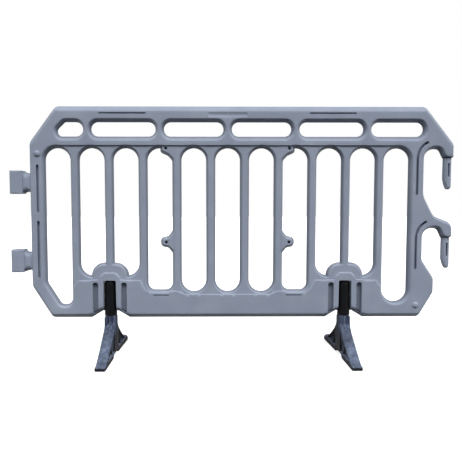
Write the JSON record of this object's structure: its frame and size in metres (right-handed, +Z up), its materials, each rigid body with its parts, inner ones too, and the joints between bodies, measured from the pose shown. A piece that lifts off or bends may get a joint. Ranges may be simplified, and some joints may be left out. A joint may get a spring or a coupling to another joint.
{
  "type": "pedestrian barrier panel",
  "caption": "Moulded plastic pedestrian barrier panel with upright bars, slotted top rail, hook pins at one end and sockets at the other, standing on swivelling rubber feet.",
  "frame": {"origin": "on the ground, in the middle of the whole length (socket face to hook edge) and of the thickness", "axes": "+X along the panel from the sockets to the hooks, +Y from the front face to the back, +Z up"},
  "size_m": [1.99, 0.5, 1.123],
  "materials": {
    "grey_plastic": "satin moulded polyethylene, fine grain",
    "black_plastic": "smooth black moulded plastic",
    "black_rubber": "rough recycled rubber, scuffed and dusty",
    "zinc_steel": "dull zinc plating"
  },
  "bodies": {
    "panel": {"barrier_panel": "grey_plastic", "hook_pin_upper": "grey_plastic", "hook_pin_lower": "grey_plastic", "dome_plug_upper": "grey_plastic", "dome_plug_lower": "grey_plastic", "threaded_insert_left": "zinc_steel", "thrust_washer_left": "black_plastic", "pivot_bolt_left": "zinc_steel", "head_washer_left": "zinc_steel", "spring_washer_left": "zinc_steel", "threaded_insert_right": "zinc_steel", "thrust_washer_right": "black_plastic", "pivot_bolt_right": "zinc_steel", "head_washer_right": "zinc_steel", "spring_washer_right": "zinc_steel"},
    "left_foot": {"swivel_post_left": "black_plastic", "foot_left": "black_rubber"},
    "right_foot": {"swivel_post_right": "black_plastic", "foot_right": "black_rubber"}
  },
  "joints": [
    {"name": "foot_left_swivel", "type": "hinge", "parent": "panel", "child": "left_foot", "pos_m": [-0.5565, 0, 0.183], "axis": [0, 0, 1], "range_deg": [-90, 90]},
    {"name": "foot_right_swivel", "type": "hinge", "parent": "panel", "child": "right_foot", "pos_m": [0.5075, 0, 0.183], "axis": [0, 0, 1], "range_deg": [-90, 90]}
  ]
}
